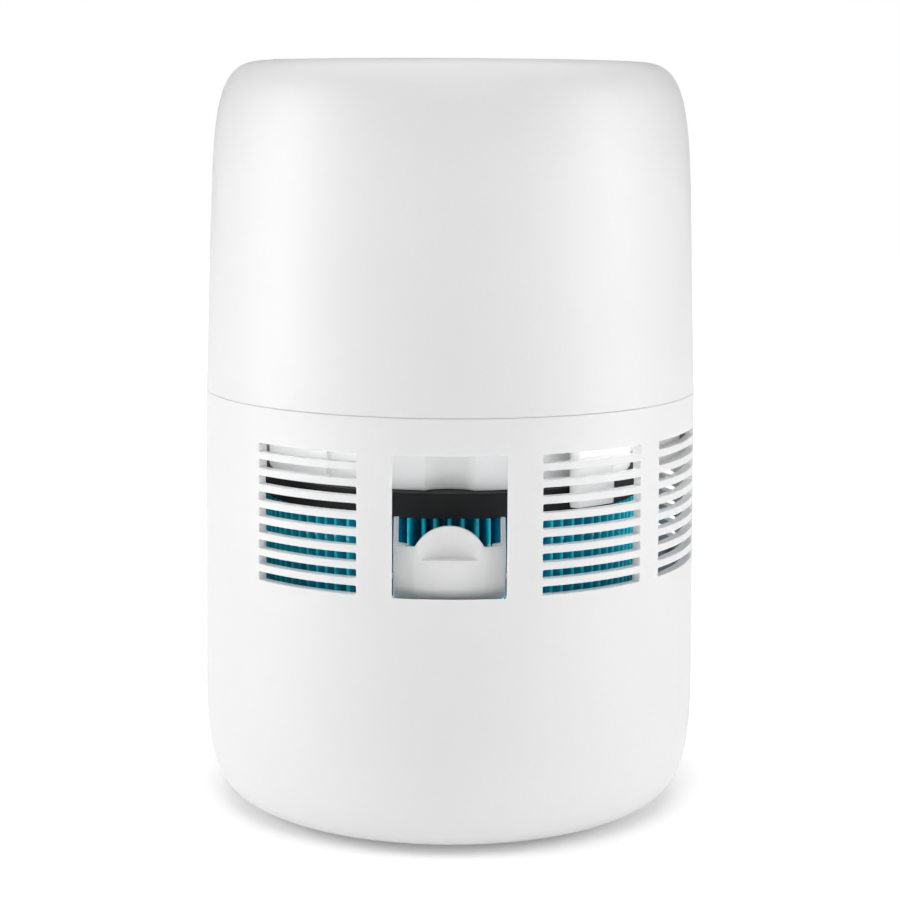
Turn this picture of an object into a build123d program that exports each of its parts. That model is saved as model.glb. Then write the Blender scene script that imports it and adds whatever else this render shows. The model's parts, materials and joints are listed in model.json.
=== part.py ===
from build123d import *
import os
from math import cos, radians, sin

# Evaporative room air unit: a louvred water tank, a pleated wick cartridge that stands in it,
# and a lift-off fan head with the controls on its top.
# Millimetres. Origin at the centre of the resting face, +Z up. -Y is the fill-window side,
# -X the plain front and +X the back with the power inlet.
# Angles called "bearing" turn from -Y towards +X.

# --- driving dimensions -------------------------------------------------------------------
# Outer shape
overall_height = 375.9
plateau_z = 375.5
plateau_radius = 94.0
shoulder_z = 315.0
shoulder_radius = 120.2
shoulder_pull = (0.7, 0.8)
seam_z = 212.5
seam_gap = 0.16
seam_radius = 124.1
belly_z = 65.0
belly_radius = 125.6
belly_pull = (0.8, 0.8)
foot_radius = 92.0
pad_stand = 2.0

# Tank
tank_wall = 3.0
tank_floor = 3.5
grille_inner_radius = 120.2
collar_radius = 118.2
collar_height = 8.0
rim_z = seam_z - seam_gap / 2

# Louvres
slot_count = 9
slot_pitch = 7.77
slot_height = 4.3
slot_top_z = 195.1
slot_span = 26.75
slot_corner = 0.8
grille_bearings = (-33.7, 33.7, 67.4, 112.6, 146.3, 180.0, 213.7)

# Fill window and spout
window_half = 26.7
window_top_z = 195.1
window_sill_z = 128.1
sill_fall = 10.5
spout_half = 26.35
spout_wall = 2.3
spout_front_y = -117.0
spout_front_curve = 55.0
spout_rim_z = 150.8
spout_back_y = -96.5
spout_cheek_z = 162.0
spout_floor_z = 141.5
spout_bottom_z = 124.6
spout_toe_radius = 7.0
hinge_y = -106.5
hinge_z = 135.5
hinge_rod_radius = 1.5
running_gap = 0.06

# Wick cartridge
wick_radius = 97.0
wick_bore = 70.0
wick_top_z = 172.9
wick_band = 11.9
media_outer = 95.5
media_inner = 73.0

# Float
float_bearing = 40.0
float_circle = 107.3
float_tube_radius = 9.4
float_radius = 7.6

# Head
head_wall = 2.8
base_plate = 3.0
skirt_front_radius = 90.0
skirt_side_radius = 92.5
skirt_wall = 2.4
skirt_bottom_z = 173.2
scallop_radius = 16.3
scallop_depth = 5.7
duct_bore = 62.0
duct_wall = 2.0
duct_top_z = 357.0
outlet_radius = 64.3

# Fan
fan_mid_z = 277.0
hub_radius = 24.0
blade_tip_radius = 60.0
blade_count = 7
shaft_radius = 2.0

# Controls on the plateau
button_circle = 86.0
button_radius = 6.5
button_bearings = (-110.1, -96.7, -83.3, -69.9)
button_travel = 0.8
button_names = ("power_button", "speed_button", "humidity_button", "timer_button")

os.makedirs("parts", exist_ok=True)


def finish_part(builder, name):
    """Label a finished piece and write it as one STEP file."""
    builder.part.label = name
    export_step(builder.part, f"parts/{name}.step")


def at_bearing(radius, bearing):
    """The plan point at a radius and a bearing."""
    return radius * sin(radians(bearing)), -radius * cos(radians(bearing))


def corner_points(r_flat, z_flat, r_wall, z_wall, pull, wall_slope):
    """The four control points of a soft corner, from a flat end face out to a sloping wall."""
    flat_pull, wall_pull = pull
    wall_reach = wall_pull * (z_wall - z_flat)
    return [
        (r_flat, z_flat),
        (r_flat + flat_pull * (r_wall - r_flat), z_flat),
        (r_wall - wall_slope * wall_reach, z_wall - wall_reach),
        (r_wall, z_wall),
    ]


def revolve_section(corner, straight, mode=Mode.ADD):
    """Revolve a half section: one corner curve from the flat, then straight runs to the axis."""
    with BuildLine() as outline:
        curve = Bezier(*corner)
        Polyline(curve @ 1, *straight, (0, corner[0][1]), curve @ 0)
    with BuildSketch(Plane.XZ) as section:
        make_face(outline.edges())
    revolve(section.sketch, axis=Axis.Z, mode=mode)


def annular_sector(inner, outer, bearing, half_span, mode=Mode.ADD):
    """A sketch face between two radii, over an angle each side of a bearing."""
    start = bearing - half_span - 90
    with BuildLine() as outline:
        rim = CenterArc((0, 0), outer, start, 2 * half_span)
        bore = CenterArc((0, 0), inner, start, 2 * half_span)
        Line(rim @ 0, bore @ 0)
        Line(rim @ 1, bore @ 1)
    make_face(outline.edges(), mode=mode)


def ring(inner, outer, z_low, z_high, mode=Mode.ADD):
    """An upright ring, extruded between two heights."""
    with BuildSketch(Plane.XY.offset(z_low)) as section:
        Circle(outer)
        Circle(inner, mode=Mode.SUBTRACT)
    extrude(section.sketch, amount=z_high - z_low, mode=mode)


def posts(places, radius, z_low, z_high, mode=Mode.ADD):
    """Upright round posts, or holes, at several plan points."""
    with BuildSketch(Plane.XY.offset(z_low)) as section:
        with Locations(*places):
            Circle(radius)
    extrude(section.sketch, amount=z_high - z_low, mode=mode)


def curved_spokes(inner, outer, bow, width, count, z_low, z_high):
    """Bowed radial spokes, such as guide vanes or slats, evenly spaced round the axis."""
    with BuildLine() as spoke_line:
        ThreePointArc((inner, 0), ((inner + outer) / 2, bow), (outer, 0))
    with BuildSketch() as spoke:
        trace(spoke_line.line, line_width=width)
    with BuildSketch(Plane.XY.offset(z_low)) as spokes:
        for step in range(count):
            add(spoke.sketch, rotation=step * 360 / count)
    extrude(spokes.sketch, amount=z_high - z_low)


# === Tank ===================================================================================
tank_bottom_z = pad_stand
tank_floor_z = tank_bottom_z + tank_floor
thicken_low_z = 118.0
thicken_high_z = 124.0
pad_places = [at_bearing(78, bearing) for bearing in (45, 135, 225, 315)]
pad_radius = 10.0
pad_recess = 1.5
float_place = at_bearing(float_circle, float_bearing)
float_leg_place = at_bearing(104.0, float_bearing)
lug_inner = window_half + 0.65
lug_width = 4.0
wall_slope = (seam_radius - belly_radius) / (rim_z - belly_z)

with BuildPart() as grille_cutter:
    for slot in range(slot_count):
        with BuildSketch(Plane.XY.offset(slot_top_z - slot_height - slot * slot_pitch)):
            annular_sector(110, 135, 0, slot_span / 2)
        extrude(amount=slot_height)
    radial_edges = [
        edge
        for edge in grille_cutter.edges().filter_by(GeomType.LINE)
        if abs(edge.tangent_at(0.5).Z) < 0.5
    ]
    fillet(radial_edges, radius=slot_corner)

# The sill falls inwards, so that spilt water runs back into the tank
with BuildPart() as sill_cutter:
    sill_radius = belly_radius + wall_slope * (window_sill_z - belly_z) - 0.6
    with BuildSketch(Plane.XZ):
        with BuildLine():
            Polyline(
                (sill_radius, window_sill_z),
                (sill_radius - 20, window_sill_z),
                (sill_radius - 20, window_sill_z - sill_fall),
                close=True,
            )
        make_face()
    revolve(axis=Axis.Z)
    with BuildSketch(Plane.XY.offset(100)):
        with Locations((0, -110)):
            Rectangle(2 * window_half - 0.6, 60)
    extrude(amount=60, mode=Mode.INTERSECT)

with BuildPart() as tank_body:
    outer_corner = corner_points(
        foot_radius, tank_bottom_z, belly_radius, belly_z, belly_pull, wall_slope
    )
    revolve_section(outer_corner, [(seam_radius, rim_z), (0, rim_z)])
    inner_belly = belly_radius - tank_wall
    inner_low = inner_belly + wall_slope * (thicken_low_z - belly_z)
    inner_corner = corner_points(
        wick_radius + 1, tank_floor_z, inner_belly, belly_z, belly_pull, wall_slope
    )
    inner_run = [
        (inner_low, thicken_low_z),
        (grille_inner_radius, thicken_high_z),
        (grille_inner_radius, rim_z - collar_height - 2),
        (collar_radius, rim_z - collar_height),
        (collar_radius, rim_z),
        (0, rim_z),
    ]
    revolve_section(inner_corner, inner_run, mode=Mode.SUBTRACT)
    # Seat that keeps the wick cartridge in the middle
    ring(98.6, 101.2, tank_floor_z - 1, 14)
    # Boss for the float guide
    posts([float_leg_place], 5.0, tank_floor_z - 1, 14)
    posts([float_leg_place], 2.5, 8.5, 14, mode=Mode.SUBTRACT)
    # Lugs that carry the spout's hinge rod
    for side in (-1, 1):
        with BuildSketch(Plane.YZ.offset(side * (lug_inner + lug_width / 2))):
            with BuildLine():
                Polyline(
                    (-118.5, hinge_z - 7),
                    (hinge_y, hinge_z - 5),
                    (hinge_y + 5, hinge_z),
                    (hinge_y, hinge_z + 5),
                    (-118.5, hinge_z + 7),
                    close=True,
                )
            make_face()
            with Locations((hinge_y, hinge_z)):
                Circle(hinge_rod_radius, mode=Mode.SUBTRACT)
        extrude(amount=lug_width / 2, both=True)
    # Louvres
    for bearing in grille_bearings:
        add(grille_cutter.part, rotation=(0, 0, bearing), mode=Mode.SUBTRACT)
    # Fill window
    window_mid_z = (window_top_z + window_sill_z) / 2
    with BuildSketch(Plane.XZ.offset(105)):
        with Locations((0, window_mid_z)):
            RectangleRounded(2 * window_half, window_top_z - window_sill_z, 0.9)
    extrude(amount=30, mode=Mode.SUBTRACT)
    add(sill_cutter.part, mode=Mode.SUBTRACT)
    # Recesses for the feet
    posts(pad_places, pad_radius, tank_bottom_z, tank_bottom_z + pad_recess, mode=Mode.SUBTRACT)
finish_part(tank_body, "tank_body")

with BuildPart() as foot_pads:
    posts(pad_places, pad_radius, 0, tank_bottom_z + pad_recess)
    fillet(foot_pads.edges().group_by(Axis.Z)[0], radius=0.6)
finish_part(foot_pads, "foot_pads")

with BuildPart() as spout_hinge_rod:
    with BuildSketch(Plane.YZ.offset(-lug_inner - lug_width)):
        with Locations((hinge_y, hinge_z)):
            Circle(hinge_rod_radius)
    extrude(amount=2 * (lug_inner + lug_width))
finish_part(spout_hinge_rod, "spout_hinge_rod")

# === Float guide, a slotted tube on a leg =====================================================
guide_floor_z = 22.0
guide_top_z = 100.0
guide_wall = 1.0

with BuildPart() as float_guide:
    posts([float_leg_place], 2.5, 9.0, 14)
    posts([float_leg_place], 3.5, 14, guide_floor_z)
    posts([float_place], float_tube_radius, guide_floor_z, guide_top_z)
    tube_floor_z = guide_floor_z + 2
    posts([float_place], float_tube_radius - guide_wall, tube_floor_z, guide_top_z, mode=Mode.SUBTRACT)
    with BuildSketch(Plane.XY.offset(tube_floor_z + 6)):
        with Locations(Location((*float_place, 0), (0, 0, float_bearing))):
            Rectangle(30, 6)
    extrude(amount=guide_top_z - tube_floor_z - 14, mode=Mode.SUBTRACT)
finish_part(float_guide, "float_guide")

with BuildPart() as float_guide_cap:
    posts([float_place], float_tube_radius, guide_top_z, guide_top_z + 2)
    posts([float_place], float_tube_radius - guide_wall, guide_top_z - 2, guide_top_z)
    posts([float_place], float_tube_radius - guide_wall - 1.2, guide_top_z - 2, guide_top_z, mode=Mode.SUBTRACT)
    posts([float_place], 2.0, guide_top_z, guide_top_z + 2, mode=Mode.SUBTRACT)
finish_part(float_guide_cap, "float_guide_cap")

# === Float ====================================================================================
float_low_z = 24.5
float_body_height = 22.0
stem_top_z = 106.0

with BuildPart() as float_body:
    posts([float_place], float_radius, float_low_z, float_low_z + float_body_height)
    chamfer(float_body.edges().filter_by(GeomType.CIRCLE), length=1.2)
    posts([float_place], 1.6, float_low_z + float_body_height, stem_top_z)
finish_part(float_body, "float_body")

with BuildPart() as float_magnet:
    posts([float_place], 3.0, stem_top_z, stem_top_z + 4)
    chamfer(float_magnet.edges().group_by(Axis.Z)[-1], length=0.4)
finish_part(float_magnet, "float_magnet")

# === Fill spout, a tray that tilts out about a rod along X =====================================
spout_arc_center_y = spout_front_y + spout_front_curve
dish_radius = 30.0
dish_depth = 5.5
dish_wall = 2.0
dish_center_z = 151.0
dish_center_y = spout_front_y + dish_depth - dish_radius
dish_ledge_z = 144.9
tongue_half = 17.5
tongue_height = 15.5


def spout_plan(inset, back_y=spout_back_y):
    """The spout's plan: a bowed front and two parallel sides, moved in by an inset."""
    half = spout_half - inset
    curve = spout_front_curve - inset
    side_y = spout_arc_center_y - (curve**2 - half**2) ** 0.5
    with BuildLine() as outline:
        ThreePointArc((-half, side_y), (0, spout_arc_center_y - curve), (half, side_y))
        Polyline((half, side_y), (half, back_y), (-half, back_y), (-half, side_y))
    make_face(outline.edges())


with BuildPart() as spout_hollow:
    with BuildSketch(Plane.XY.offset(125)):
        spout_plan(spout_wall, spout_back_y + 10)
    extrude(amount=50)
    with BuildSketch(Plane.YZ.offset(-40)):
        with BuildLine():
            Polyline(
                (-125, spout_floor_z + 1),
                (hinge_y, spout_floor_z),
                (-90, spout_floor_z - 8),
                (-90, 180),
                (-125, 180),
                close=True,
            )
        make_face()
    extrude(amount=80, mode=Mode.INTERSECT)

with BuildPart() as dish:
    with Locations((0, dish_center_y, dish_center_z)):
        Sphere(dish_radius)
    with BuildSketch(Plane.XY.offset(dish_ledge_z)):
        Rectangle(300, 300)
    extrude(amount=60, mode=Mode.INTERSECT)

with BuildPart() as tongue:
    with BuildSketch(Plane.XZ.offset(100)):
        with Locations((0, dish_ledge_z)):
            Ellipse(tongue_half, tongue_height)
        with Locations((0, dish_ledge_z - dish_wall - 20)):
            Rectangle(60, 40, mode=Mode.SUBTRACT)
    extrude(amount=25)
    with Locations((0, dish_center_y, dish_center_z)):
        Sphere(dish_radius + dish_wall, mode=Mode.INTERSECT)
    with BuildSketch(Plane.XY.offset(125)):
        spout_plan(0, spout_back_y + 10)
    extrude(amount=50, mode=Mode.INTERSECT)

with BuildPart() as spout_webs:
    # Small webs in the two front corners
    with BuildSketch(Plane.XY.offset(spout_floor_z - 1)):
        with Locations((-(spout_half - spout_wall), -109.3), (spout_half - spout_wall, -109.3)):
            Circle(4.2)
    extrude(amount=spout_rim_z - spout_floor_z + 1.4)
    with BuildSketch(Plane.XY.offset(125)):
        spout_plan(spout_wall / 2)
    extrude(amount=50, mode=Mode.INTERSECT)

with BuildPart() as fill_spout:
    with BuildSketch(Plane.XY.offset(spout_bottom_z)):
        spout_plan(0)
    extrude(amount=50)
    with BuildSketch(Plane.YZ.offset(-40)):
        with BuildLine():
            Polyline(
                (spout_front_y, spout_bottom_z),
                (spout_front_y, spout_rim_z),
                (-110.8, spout_rim_z),
                (spout_back_y, spout_cheek_z),
                (spout_back_y, hinge_z),
                (-101, spout_bottom_z),
                close=True,
            )
        make_face()
    extrude(amount=80, mode=Mode.INTERSECT)
    toe_edge = fill_spout.edges().filter_by(GeomType.CIRCLE).group_by(Axis.Z)[0]
    fillet(toe_edge, radius=spout_toe_radius)
    add(spout_hollow.part, mode=Mode.SUBTRACT)
    add(spout_webs.part)
    add(tongue.part)
    add(dish.part, mode=Mode.SUBTRACT)
    # Bore for the hinge rod
    with BuildSketch(Plane.YZ.offset(-40)):
        with Locations((hinge_y, hinge_z)):
            Circle(hinge_rod_radius + running_gap)
    extrude(amount=80, mode=Mode.SUBTRACT)
finish_part(fill_spout, "fill_spout")

# === Wick cartridge ===========================================================================
wick_bottom_z = tank_floor_z
tray_plate = 3.0
tray_lip = 8.0
band_wall = 1.3
media_low_z = wick_bottom_z + tray_plate
media_high_z = wick_top_z - 2.3

with BuildPart() as wick_bottom_ring:
    ring(wick_bore, wick_radius, wick_bottom_z, media_low_z)
    ring(wick_radius - band_wall, wick_radius, media_low_z, media_low_z + tray_lip)
    ring(wick_bore, wick_bore + band_wall, media_low_z, media_low_z + tray_lip)
finish_part(wick_bottom_ring, "wick_bottom_ring")

with BuildPart() as wick_media:
    ring(media_inner, media_outer, media_low_z, media_high_z)
finish_part(wick_media, "wick_media")

with BuildPart() as wick_core:
    core_low_z = media_low_z + tray_lip
    core_high_z = media_high_z
    ring(wick_bore + 0.2, wick_bore + 2.4, core_low_z, core_high_z)
    window_rows = 5
    window_columns = 12
    row_pitch = (core_high_z - core_low_z) / window_rows
    for row in range(window_rows):
        with BuildSketch(Plane.XY.offset(core_low_z + row * row_pitch + 3)):
            for column in range(window_columns):
                annular_sector(60, 80, column * 360 / window_columns, 360 / window_columns / 2 - 2.5)
        extrude(amount=row_pitch - 6, mode=Mode.SUBTRACT)
finish_part(wick_core, "wick_core")

with BuildPart() as wick_top_ring:
    ring(wick_bore - 1, wick_radius, media_high_z, wick_top_z)
    ring(wick_radius - band_wall, wick_radius, wick_top_z - wick_band, media_high_z)
    outer_edges = wick_top_ring.edges().filter_by(GeomType.CIRCLE).group_by(Axis.Z)[-1]
    fillet(outer_edges.sort_by(SortBy.RADIUS)[-1], radius=0.8)
finish_part(wick_top_ring, "wick_top_ring")

# === Head casing ==============================================================================
shell_bottom_z = seam_z + seam_gap / 2
base_low_z = rim_z
base_high_z = base_low_z + base_plate
base_radius = seam_radius - head_wall - 0.1
base_bore = 76.0
shell_slope = (shoulder_radius - seam_radius) / (shoulder_z - shell_bottom_z)
shell_screw_places = [at_bearing(116.5, bearing) for bearing in (25, 155, 205, 335)]
boss_height = 25.0
screw_core = 1.4
lens_circle = 72.5
lens_half_width = 3.2
lens_half_span = 15.0
board_post_places = [
    at_bearing(95, -117),
    at_bearing(95, -63),
    at_bearing(79.5, -90),
]
board_top_z = 363.6
board_thickness = 1.6
jack_z = 230.0
jack_radius = 4.2


def lens_outline(margin):
    """The round-ended display slot, grown by a margin."""
    arc = CenterArc((0, 0), lens_circle, 180 - lens_half_span, 2 * lens_half_span, mode=Mode.PRIVATE)
    SlotArc(arc, 2 * (lens_half_width + margin))


with BuildPart() as head_shell:
    top_corner = corner_points(
        plateau_radius, plateau_z, shoulder_radius, shoulder_z, shoulder_pull, shell_slope
    )
    outer_foot = [(seam_radius, shell_bottom_z), (0, shell_bottom_z)]
    revolve_section(top_corner, outer_foot)
    inner_top_z = plateau_z - head_wall
    inner_top_corner = corner_points(
        plateau_radius,
        inner_top_z,
        shoulder_radius - head_wall,
        shoulder_z,
        shoulder_pull,
        shell_slope,
    )
    inner_foot = [(seam_radius - head_wall, shell_bottom_z), (0, shell_bottom_z)]
    revolve_section(inner_top_corner, inner_foot, mode=Mode.SUBTRACT)
    # Turned-down lip round the outlet
    ring(outlet_radius, outlet_radius + 2.7, 362, inner_top_z + 1)
    posts([(0, 0)], outlet_radius, 350, 380, mode=Mode.SUBTRACT)
    lip_edge = head_shell.edges().filter_by(GeomType.CIRCLE).group_by(Axis.Z)[-1]
    fillet(lip_edge.sort_by(SortBy.RADIUS)[0], radius=1.5)
    # Screw bosses on the inside of the wall
    posts(shell_screw_places, 5.0, base_high_z, base_high_z + boss_height)
    posts(shell_screw_places, screw_core, base_high_z, base_high_z + 14, mode=Mode.SUBTRACT)
    # Posts that carry the control board
    posts(board_post_places, 2.6, board_top_z, inner_top_z)
    posts(board_post_places, 1.0, board_top_z, board_top_z + 7, mode=Mode.SUBTRACT)
    # Button holes and the display slot
    button_places = [at_bearing(button_circle, bearing) for bearing in button_bearings]
    posts(button_places, button_radius + 0.4, inner_top_z - 1, plateau_z + 1, mode=Mode.SUBTRACT)
    with BuildSketch(Plane.XY.offset(inner_top_z - 1)):
        lens_outline(0)
    extrude(amount=head_wall + 2, mode=Mode.SUBTRACT)
    # Hole for the power inlet
    with BuildSketch(Plane.YZ.offset(110)):
        with Locations((0, jack_z)):
            Circle(jack_radius + 0.1)
    extrude(amount=20, mode=Mode.SUBTRACT)
finish_part(head_shell, "head_shell")

main_board_center_x = 101.0
main_board_posts = [(main_board_center_x + dx, dy) for dx in (-9, 9) for dy in (-30, 30)]
main_board_z = 222.0
duct_flange_radius = 86.0
duct_screw_places = [at_bearing(82.5, bearing) for bearing in (40, 140, 220, 320)]
key_inner = 115.0
key_outer = 117.5
key_bottom_z = 181.5

with BuildPart() as head_base:
    ring(base_bore, base_radius, base_low_z, base_high_z)
    # Two curved keys that centre the head in the tank mouth
    for bearing in (-90, 90):
        with BuildSketch(Plane.XY.offset(key_bottom_z)):
            annular_sector(key_inner, key_outer, bearing, 40)
        extrude(amount=base_low_z - key_bottom_z)
    posts(main_board_posts, 3.0, base_high_z, main_board_z)
    posts(main_board_posts, 1.0, base_high_z, main_board_z, mode=Mode.SUBTRACT)
    posts(duct_screw_places, 1.2, base_low_z, base_high_z, mode=Mode.SUBTRACT)
    # Countersunk screw holes under the shell's bosses
    with Locations(Plane.XY.offset(base_low_z).rotated((180, 0, 0))):
        with Locations(*[(x, -y) for x, y in shell_screw_places]):
            CounterSinkHole(1.6, 3.1, counter_sink_angle=90)
finish_part(head_base, "head_base")

with BuildPart() as intake_skirt:
    with BuildSketch(Plane.XY.offset(skirt_bottom_z)):
        Circle(skirt_side_radius)
        annular_sector(skirt_front_radius, skirt_side_radius + 5, 0, 40, mode=Mode.SUBTRACT)
        with Locations((0, -skirt_front_radius + scallop_depth - scallop_radius)):
            Circle(scallop_radius, mode=Mode.SUBTRACT)
        offset(amount=-skirt_wall, mode=Mode.SUBTRACT)
    extrude(amount=base_low_z - skirt_bottom_z)
finish_part(intake_skirt, "intake_skirt")

# === Sensors in the head =======================================================================
sensor_low_z = 165.0
sensor_inner = wick_radius + 0.8
sensor_outer = 108.0
sensor_x_low = 57.5
sensor_x_high = 79.2
sensor_wall = 1.8


def sensor_plan(inset):
    """The sensor housing's plan: two straight sides between two arcs, moved in by an inset."""
    width = sensor_x_high - sensor_x_low - 2 * inset
    with Locations(((sensor_x_low + sensor_x_high) / 2, -70)):
        Rectangle(width, 60)
    Circle(sensor_outer - inset, mode=Mode.INTERSECT)
    Circle(sensor_inner + inset, mode=Mode.SUBTRACT)


with BuildPart() as sensor_housing:
    with BuildSketch(Plane.XY.offset(sensor_low_z)):
        sensor_plan(0)
    extrude(amount=base_low_z - sensor_low_z)
    upright = sensor_housing.edges().filter_by(Axis.Z)
    fillet(upright.sort_by(lambda edge: edge.center().X**2 + edge.center().Y**2)[-2:], radius=3.2)
    with BuildSketch(Plane.XY.offset(sensor_low_z + sensor_wall)):
        sensor_plan(sensor_wall)
    extrude(amount=base_low_z - sensor_low_z, mode=Mode.SUBTRACT)
finish_part(sensor_housing, "sensor_housing")

with BuildPart() as float_sensor:
    sensor_place = at_bearing(103, 40)
    posts([sensor_place], 1.3, sensor_low_z + sensor_wall, sensor_low_z + 14)
finish_part(float_sensor, "float_sensor")

with BuildPart() as humidity_sensor:
    with BuildSketch(Plane.XY.offset(190)):
        with Locations(Location((*at_bearing(103, 40), 0), (0, 0, 40))):
            Rectangle(8, 1.6)
            with Locations((0, 1.6)):
                Rectangle(5, 2)
    extrude(amount=14)
finish_part(humidity_sensor, "humidity_sensor")

# === Fan duct and motor mount ====================================================================
bell_height = 17.0
mount_low_z = 296.0
mount_height = 10.0
vane_count = 5
bearing_radius = 5.0
tube_wall = 2.4
tube_low_z = 270.0

with BuildPart() as fan_duct:
    with BuildSketch(Plane.XZ):
        with BuildLine():
            bell_top_z = base_high_z + bell_height
            bell = EllipticalCenterArc(
                (base_bore, bell_top_z), base_bore - duct_bore, bell_height, 180, arc_size=90
            )
            inner_run = Polyline((duct_bore, bell_top_z), (duct_bore, duct_top_z))
            top = Line(inner_run @ 1, (duct_bore + duct_wall, duct_top_z))
            outer = Line(top @ 1, (duct_bore + duct_wall, bell_top_z))
            bell_back = EllipticalCenterArc(
                (base_bore + duct_wall, bell_top_z),
                base_bore - duct_bore,
                bell_height - duct_wall,
                180,
                arc_size=90,
            )
            flange = Polyline(
                bell_back @ 1,
                (duct_flange_radius, base_high_z + 2),
                (duct_flange_radius, base_high_z),
                bell @ 1,
            )
        make_face()
    revolve(axis=Axis.Z)
    posts(duct_screw_places, 1.6, base_high_z, base_high_z + 2, mode=Mode.SUBTRACT)
finish_part(fan_duct, "fan_duct")

with BuildPart() as motor_mount:
    mount_high_z = mount_low_z + mount_height
    ring(duct_bore - 2, duct_bore, mount_low_z, mount_high_z)
    posts([(0, 0)], hub_radius, mount_low_z, mount_low_z + 3)
    ring(hub_radius - 2, hub_radius, mount_low_z, mount_high_z)
    curved_spokes(hub_radius - 1, duct_bore - 1, 4.5, 2.2, vane_count, mount_low_z, mount_high_z)
    ring(bearing_radius, bearing_radius + tube_wall, tube_low_z, mount_low_z)
finish_part(motor_mount, "motor_mount")

# === Motor =======================================================================================
tooth_count = 9
stator_low_z = 274.0
stator_height = 14.0
stator_inner = bearing_radius + tube_wall
stator_outer = 17.4
magnet_inner = 18.0
cup_outer = 21.2
cup_wall = 1.2
cup_low_z = 266.8
coil_height = 17.0

with BuildPart() as stator_core:
    with BuildSketch(Plane.XY.offset(stator_low_z)):
        Circle(stator_inner + 2.6)
        with PolarLocations(0, tooth_count):
            with Locations((13, 0)):
                Rectangle(8, 2.4)
        for tooth in range(tooth_count):
            annular_sector(stator_outer - 1.2, stator_outer, tooth * 360 / tooth_count, 15)
        Circle(stator_inner, mode=Mode.SUBTRACT)
    extrude(amount=stator_height)
finish_part(stator_core, "stator_core")

with BuildPart() as stator_coils:
    with BuildSketch(Plane.XY.offset(stator_low_z - (coil_height - stator_height) / 2)):
        with PolarLocations(0, tooth_count):
            with Locations((13.1, 0)):
                Rectangle(5.4, 5.2)
    extrude(amount=coil_height)
    fillet(stator_coils.edges().filter_by(Axis.Z), radius=0.6)
    add(stator_core.part, mode=Mode.SUBTRACT)
finish_part(stator_coils, "stator_coils")

with BuildPart() as motor_bearings:
    for bearing_z in (271.0, 290.0):
        ring(shaft_radius + running_gap, bearing_radius, bearing_z, bearing_z + 4)
finish_part(motor_bearings, "motor_bearings")

with BuildPart() as motor_shaft:
    posts([(0, 0)], shaft_radius, cup_low_z, 295.4)
    chamfer(motor_shaft.edges().group_by(Axis.Z)[-1], length=0.3)
    ring(shaft_radius - 0.4, shaft_radius + 0.1, 294.4, 294.9, mode=Mode.SUBTRACT)
finish_part(motor_shaft, "motor_shaft")

with BuildPart() as shaft_clip:
    ring(shaft_radius - 0.4, shaft_radius + 1.3, 294.4, 294.9)
    with BuildSketch(Plane.XY.offset(294)):
        with Locations((0, -3)):
            Rectangle(2.4, 6)
    extrude(amount=2, mode=Mode.SUBTRACT)
finish_part(shaft_clip, "shaft_clip")

with BuildPart() as rotor_cup:
    posts([(0, 0)], cup_outer, cup_low_z, cup_low_z + cup_wall)
    ring(cup_outer - cup_wall, cup_outer, cup_low_z, 290.5)
    ring(shaft_radius, shaft_radius + 2, cup_low_z, cup_low_z + 3)
    posts([(0, 0)], shaft_radius, cup_low_z, cup_low_z + 3, mode=Mode.SUBTRACT)
finish_part(rotor_cup, "rotor_cup")

with BuildPart() as rotor_magnet:
    ring(magnet_inner, cup_outer - cup_wall, stator_low_z - 1, stator_low_z + stator_height + 1)
finish_part(rotor_magnet, "rotor_magnet")

# === Impeller ====================================================================================
hub_low_z = 262.0
hub_high_z = 291.5
root_chord = 28.0
root_pitch = 48.0
tip_chord = 44.0
tip_pitch = 27.0

with BuildPart() as fan_blade:
    for station, chord, pitch, thickness in (
        (cup_outer - 1, root_chord, root_pitch, 2.6),
        (44.0, 38.0, 34.0, 2.1),
        (blade_tip_radius + 2, tip_chord, tip_pitch, 1.6),
    ):
        with BuildSketch(Plane(origin=(station, 0, fan_mid_z), x_dir=(0, 1, 0), z_dir=(1, 0, 0))):
            SlotOverall(chord, thickness, rotation=pitch)
    loft()

with BuildPart() as fan_impeller:
    posts([(0, 0)], hub_radius, hub_low_z, hub_high_z)
    fillet(fan_impeller.faces().sort_by(Axis.Z)[0].edges(), radius=4.0)
    for blade in range(blade_count):
        add(fan_blade.part, rotation=(0, 0, blade * 360 / blade_count))
    with BuildSketch(Plane.XY.offset(hub_low_z - 5)):
        Circle(blade_tip_radius)
    extrude(amount=hub_high_z - hub_low_z + 20, mode=Mode.INTERSECT)
    posts([(0, 0)], cup_outer, cup_low_z, hub_high_z + 5, mode=Mode.SUBTRACT)
finish_part(fan_impeller, "fan_impeller")

# === Outlet grille ================================================================================
grille_low_z = duct_top_z
grille_high_z = 370.0
slat_low_z = 362.0
slat_count = 36
cap_radius = 17.0

with BuildPart() as outlet_grille:
    ring(61.2, outlet_radius - 0.2, grille_low_z, grille_high_z)
    ring(38.4, 40.0, slat_low_z, grille_high_z)
    posts([(0, 0)], cap_radius, slat_low_z - 2, grille_high_z + 1.5)
    fillet(outlet_grille.faces().sort_by(Axis.Z)[-1].edges(), radius=1.4)
    curved_spokes(cap_radius - 1, 61.8, 5.0, 1.4, slat_count, slat_low_z, grille_high_z)
finish_part(outlet_grille, "outlet_grille")

# === Controls =====================================================================================
button_top_z = overall_height
flange_top_z = plateau_z - head_wall
plunger_low_z = 367.6
board_low_z = board_top_z - board_thickness
switch_top_z = 366.0


def button(place):
    """One push button: cap, retaining flange and plunger."""
    posts([place], button_radius, flange_top_z - 1.2, button_top_z)
    posts([place], button_radius + 1.3, flange_top_z - 1.2, flange_top_z)
    posts([place], 2.0, plunger_low_z, flange_top_z - 1.2)


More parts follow.
